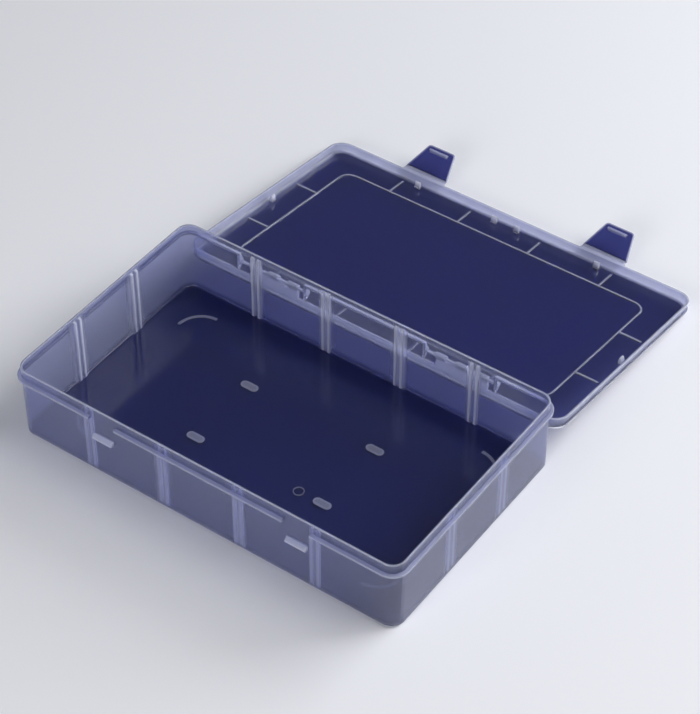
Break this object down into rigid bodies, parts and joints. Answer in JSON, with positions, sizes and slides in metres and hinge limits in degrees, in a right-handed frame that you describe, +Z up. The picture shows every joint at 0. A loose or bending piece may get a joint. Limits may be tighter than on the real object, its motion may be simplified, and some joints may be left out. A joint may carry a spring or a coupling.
{
  "type": "hinged bead storage box",
  "caption": "Shallow clear plastic bead box: a slotted tray and a hinged lid lying open behind it, with snap latch flaps on the lid's free edge.",
  "frame": {"origin": "centre of the tray's footprint, on the surface that the box stands on; the tray's floor is one foot's height, 0.4 mm, above it", "axes": "+X along the tray's long side, to the right as seen from the latch side; +Y from the latch side to the hinge side; +Z up"},
  "size_m": [0.2348, 0.3026, 0.0443],
  "materials": {
    "tray_plastic": "gloss",
    "lid_plastic": "gloss"
  },
  "bodies": {
    "tray": {"tray": "tray_plastic"},
    "lid": {"lid": "lid_plastic", "latch_web_left": "lid_plastic", "latch_web_right": "lid_plastic"},
    "latch_left": {"latch_flap_left": "lid_plastic"},
    "latch_right": {"latch_flap_right": "lid_plastic"}
  },
  "joints": [
    {"name": "lid_hinge", "type": "hinge", "parent": "tray", "child": "lid", "pos_m": [0, 0.0713, 0.0323], "axis": [1, 0, 0], "range_deg": [0, 187.7]},
    {"name": "latch_left_fold", "type": "hinge", "parent": "lid", "child": "latch_left", "pos_m": [-0.0589, 0.21363, 0.00619], "axis": [1, 0, 0], "range_deg": [-29.5, 60.5], "deforming": ["latch_web_left"]},
    {"name": "latch_right_fold", "type": "hinge", "parent": "lid", "child": "latch_right", "pos_m": [0.0589, 0.21363, 0.00619], "axis": [1, 0, 0], "range_deg": [-29.5, 60.5], "deforming": ["latch_web_right"]}
  ]
}
